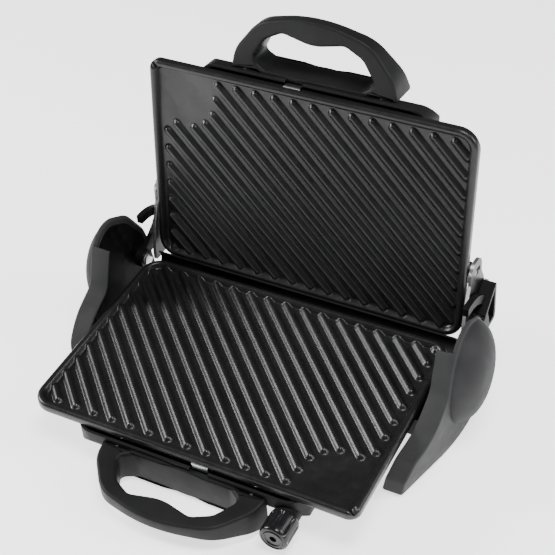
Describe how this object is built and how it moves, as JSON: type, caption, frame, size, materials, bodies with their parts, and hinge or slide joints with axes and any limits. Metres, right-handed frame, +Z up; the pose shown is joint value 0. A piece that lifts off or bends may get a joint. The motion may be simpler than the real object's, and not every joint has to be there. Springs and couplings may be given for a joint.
{
  "type": "panini press",
  "caption": "Contact grill with two ridged non-stick plates, its lid held upright by side arms that turn inside rounded cheeks.",
  "frame": {"origin": "centre of the footprint box at table height, under the rubber feet", "axes": "+X to the right seen from the front, +Y to the rear where the lid stands, +Z up"},
  "size_m": [0.383, 0.3122, 0.3253],
  "materials": {
    "housing_plastic": "moulded heat-proof plastic, fine texture",
    "handle_plastic": "moulded heat-proof plastic, fine texture",
    "cheek_plastic": "moulded plastic, satin spark-eroded texture",
    "arm_plastic": "moulded plastic, satin",
    "nonstick_plate": "cast aluminium with a black non-stick coating",
    "bright_clip": "nickel-plated spring steel",
    "link_steel": "zinc-plated pressed steel",
    "black_steel": "black-painted pressed steel",
    "pin_steel": "turned steel",
    "screw_steel": "plated screws",
    "reflector_metal": "bright rolled sheet",
    "element_sheath": "heat-dulled sheath",
    "bracket_steel": "pressed steel",
    "ceramic_white": "off-white heat-proof moulding",
    "nylon_bush": "natural nylon",
    "gland_plastic": "moulded collar",
    "knob_plastic": "glossy moulding",
    "foot_rubber": "soft pad"
  },
  "bodies": {
    "base": {"base_shell": "housing_plastic", "base_bottom_cover": "housing_plastic", "bottom_cover_screws": "screw_steel", "base_handle": "handle_plastic", "base_handle_screws": "screw_steel", "base_plate": "nonstick_plate", "base_reflector": "reflector_metal", "base_heating_element": "element_sheath", "base_element_brackets": "bracket_steel", "thermostat": "ceramic_white", "thermal_fuse": "bracket_steel", "terminal_block": "ceramic_white", "cord_gland": "gland_plastic", "rubber_feet": "foot_rubber", "left_cheek": "cheek_plastic", "right_cheek": "cheek_plastic", "left_dome_cap": "cheek_plastic", "right_dome_cap": "cheek_plastic", "left_cheek_screws": "screw_steel", "right_cheek_screws": "screw_steel", "left_hinge_pin": "pin_steel", "right_hinge_pin": "pin_steel"},
    "knob": {"control_knob": "knob_plastic", "knob_shaft": "pin_steel"},
    "base_release": {"base_clip": "bright_clip"},
    "arms": {"left_arm_link": "link_steel", "right_arm_link": "link_steel", "left_arm_cover": "arm_plastic", "right_arm_cover": "arm_plastic", "left_hinge_bush": "nylon_bush", "right_hinge_bush": "nylon_bush", "left_arm_rivets": "pin_steel", "right_arm_rivets": "pin_steel"},
    "lid": {"lid_shell": "housing_plastic", "lid_handle": "handle_plastic", "lid_handle_screws": "screw_steel", "lid_plate": "nonstick_plate", "lid_reflector": "reflector_metal", "lid_heating_element": "element_sheath", "lid_element_brackets": "bracket_steel", "lid_bracket_screws": "screw_steel", "left_lid_bracket": "black_steel", "right_lid_bracket": "black_steel"},
    "lid_release": {"lid_clip": "bright_clip"}
  },
  "joints": [
    {"name": "lid_hinge", "type": "hinge", "parent": "base", "child": "arms", "pos_m": [0, 0.10241, 0.06406], "axis": [-1, 0, 0], "range_deg": [-97.7, 88]},
    {"name": "lid_float", "type": "slide", "parent": "arms", "child": "lid", "axis": [0, 1, 0], "range_m": [0, 0.008]},
    {"name": "knob_turn", "type": "hinge", "parent": "base", "child": "knob", "pos_m": [0.092, -0.1136, 0.01901], "axis": [0, 0.991, 0.134], "range_deg": [0, 270]},
    {"name": "base_clip_slide", "type": "slide", "parent": "base", "child": "base_release", "axis": [0, -0.991, -0.134], "range_m": [0, 0.003], "stiffness_N_per_m": 800, "springref_m": -0.001},
    {"name": "lid_clip_slide", "type": "slide", "parent": "lid", "child": "lid_release", "axis": [0, 0, 1], "range_m": [0, 0.003], "stiffness_N_per_m": 800, "springref_m": -0.001}
  ]
}
